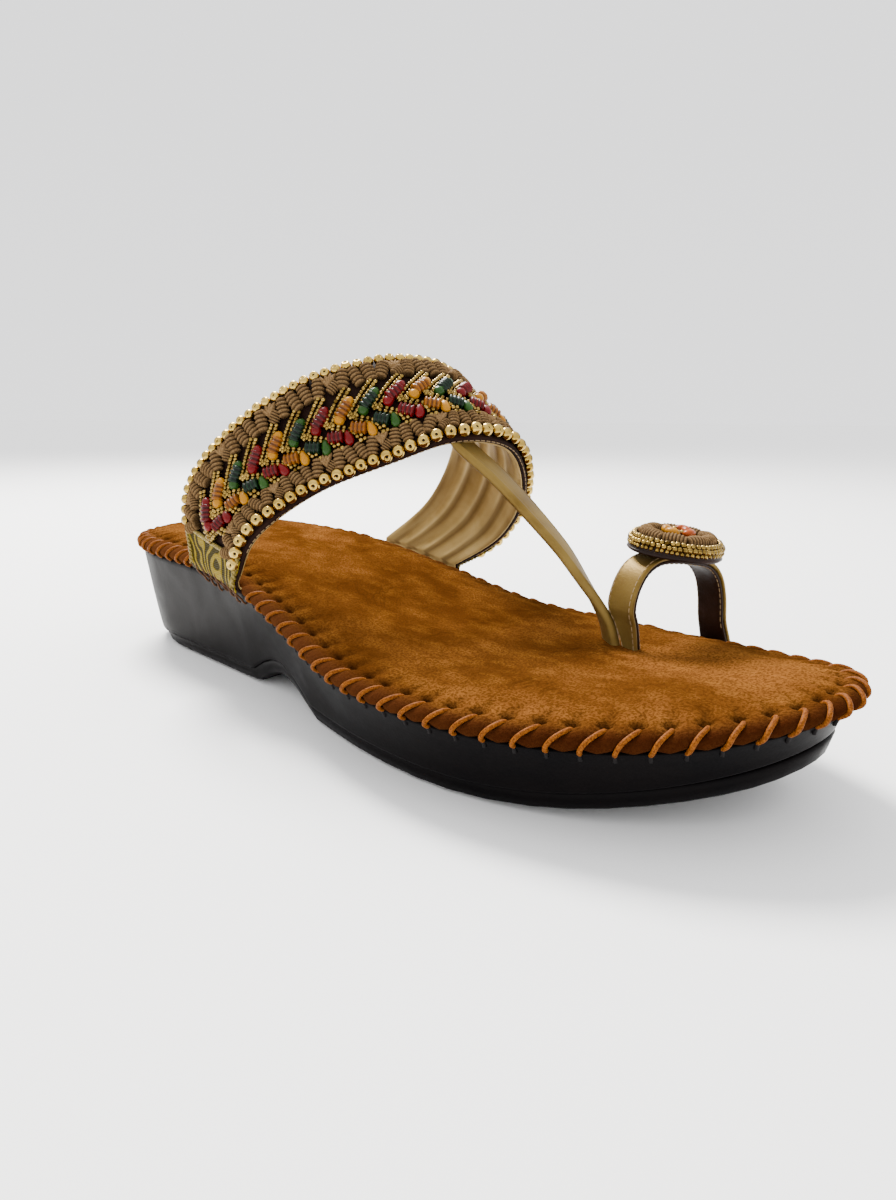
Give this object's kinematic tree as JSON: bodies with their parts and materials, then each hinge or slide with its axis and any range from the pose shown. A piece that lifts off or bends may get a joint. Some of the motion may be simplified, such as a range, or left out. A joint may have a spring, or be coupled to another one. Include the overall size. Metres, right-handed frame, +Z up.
{
  "type": "slip-on sandal",
  "caption": "Right slip-on sandal with a moulded wedge sole, a suede footbed, a beaded instep band running into a thong strap, and a toe ring with a medallion.",
  "frame": {"origin": "on the floor under the centre of the sandal's bounding box", "axes": "+X towards the toe, +Y towards the inner side of the foot, +Z up from the floor"},
  "size_m": [0.2462, 0.098, 0.0976],
  "materials": {
    "dark_rubber": "semi-matte, near black",
    "dark_foam": "semi-matte moulded foam, very dark brown",
    "tan_suede": "napped suede",
    "gold_leather": "soft metallic gold",
    "gold_beads": "rows of glossy gold seed beads",
    "taupe_thread": "thread-wrapped coil",
    "beadwork": "dark cloth under gold and coloured beads",
    "brocade": "olive and gold woven brocade",
    "brown_leather": "dark brown leather",
    "coloured_beads": "glossy amber and orange beads"
  },
  "bodies": {
    "root": {"outsole": "dark_rubber", "midsole": "dark_foam", "footbed": "tan_suede", "upper": "gold_leather", "toe_ring": "gold_leather", "bead_edge_front": "gold_beads", "thread_border_front": "taupe_thread", "beadwork_panel": "beadwork", "thread_border_rear": "taupe_thread", "bead_edge_rear": "gold_beads", "brocade_tab_lateral": "brocade", "brocade_tab_medial": "brocade", "medallion_base": "brown_leather", "medallion_bead_rim": "gold_beads", "medallion_thread_ring": "taupe_thread", "medallion_centre": "coloured_beads"}
  },
  "joints": []
}
